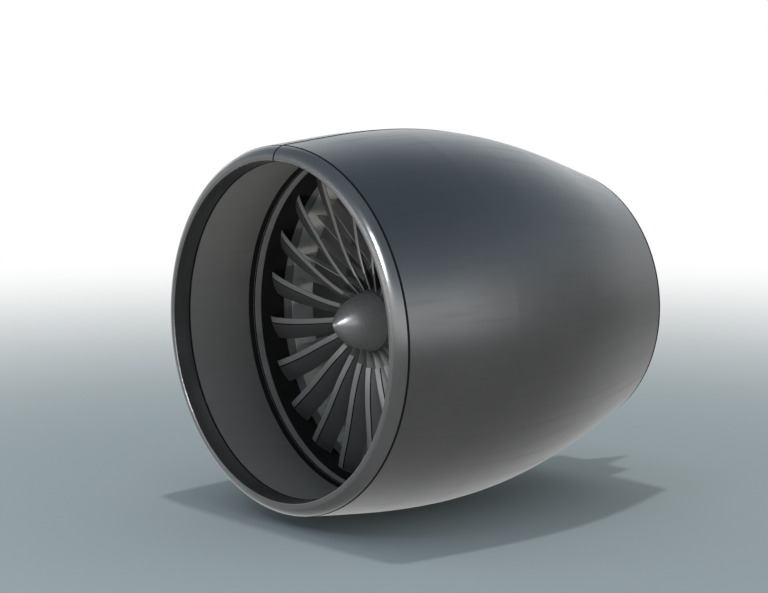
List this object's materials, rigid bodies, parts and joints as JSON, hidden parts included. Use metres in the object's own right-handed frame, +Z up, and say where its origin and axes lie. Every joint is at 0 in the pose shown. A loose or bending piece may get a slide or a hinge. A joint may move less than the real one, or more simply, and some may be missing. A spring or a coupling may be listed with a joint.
{
  "type": "jet engine",
  "caption": "Turbofan jet engine in a long cowl, with a turning fan and core, guide vanes, bypass duct, exhaust plug, a hinged cowl door and bolted mounts for a side pylon.",
  "frame": {"origin": "centre of the front mount's face, on the pylon side", "axes": "+X rearwards along the shaft line, +Y out of the mount face towards the pylon, +Z up"},
  "size_m": [2.379, 1.8181, 1.8186],
  "materials": {
    "cowl_paint": "gloss",
    "lip_metal": "polished",
    "barrel_paint": "satin",
    "case_metal": "satin",
    "liner_rubber": "matte",
    "blade_metal": "satin",
    "spinner_metal": "satin",
    "vane_metal": "satin",
    "disc_metal": "machined",
    "shaft_steel": "machined",
    "bearing_steel": "polished",
    "duct_metal": "satin",
    "core_paint": "satin",
    "casing_metal": "cast",
    "hot_metal": "heat tinted",
    "mount_steel": "machined",
    "hinge_metal": "satin"
  },
  "bodies": {
    "nacelle": {"inlet_lip": "lip_metal", "inlet_bulkhead": "duct_metal", "inlet_barrel": "barrel_paint", "fan_case": "case_metal", "blade_track_liner": "liner_rubber", "guide_vane_ring": "vane_metal", "bypass_duct": "duct_metal", "core_cowl": "core_paint", "rear_frame": "hot_metal", "core_nozzle": "hot_metal", "exhaust_plug": "hot_metal", "front_bearing": "bearing_steel", "high_front_bearing": "bearing_steel", "rear_bearing": "bearing_steel", "booster_case": "vane_metal", "frame_hub": "casing_metal", "compressor_case": "casing_metal", "combustor_case": "casing_metal", "fuel_nozzles": "casing_metal", "combustor_liner": "hot_metal", "turbine_case": "hot_metal", "accessory_gearbox": "casing_metal", "inboard_cowl": "cowl_paint", "hinge_brackets": "hinge_metal", "hinge_pins": "bearing_steel", "front_mount": "mount_steel", "rear_mount": "mount_steel"},
    "low_spool": {"fan_disc": "disc_metal", "fan_blade_01": "blade_metal", "fan_blade_02": "blade_metal", "fan_blade_03": "blade_metal", "fan_blade_04": "blade_metal", "fan_blade_05": "blade_metal", "fan_blade_06": "blade_metal", "fan_blade_07": "blade_metal", "fan_blade_08": "blade_metal", "fan_blade_09": "blade_metal", "fan_blade_10": "blade_metal", "fan_blade_11": "blade_metal", "fan_blade_12": "blade_metal", "fan_blade_13": "blade_metal", "fan_blade_14": "blade_metal", "fan_blade_15": "blade_metal", "fan_blade_16": "blade_metal", "fan_blade_17": "blade_metal", "fan_blade_18": "blade_metal", "fan_blade_19": "blade_metal", "fan_blade_20": "blade_metal", "fan_blade_21": "blade_metal", "fan_blade_22": "blade_metal", "spinner": "spinner_metal", "low_shaft": "shaft_steel", "high_rear_bearing": "bearing_steel", "booster_rotor": "disc_metal", "low_turbine": "hot_metal"},
    "high_spool": {"compressor_rotor": "disc_metal", "high_shaft": "shaft_steel", "high_turbine": "hot_metal"},
    "cowl_door": {"outboard_door": "cowl_paint", "hinge_arms": "hinge_metal"}
  },
  "joints": [
    {"name": "fan_spin", "type": "hinge", "parent": "nacelle", "child": "low_spool", "pos_m": [0, -0.868, 0], "axis": [1, 0, 0], "continuous": true},
    {"name": "core_spin", "type": "hinge", "parent": "nacelle", "child": "high_spool", "pos_m": [0, -0.868, 0], "axis": [1, 0, 0], "continuous": true},
    {"name": "cowl_door_hinge", "type": "hinge", "parent": "nacelle", "child": "cowl_door", "pos_m": [-0.121, -0.808, 0.878], "axis": [-1, 0, 0], "range_deg": [0, 40]}
  ]
}
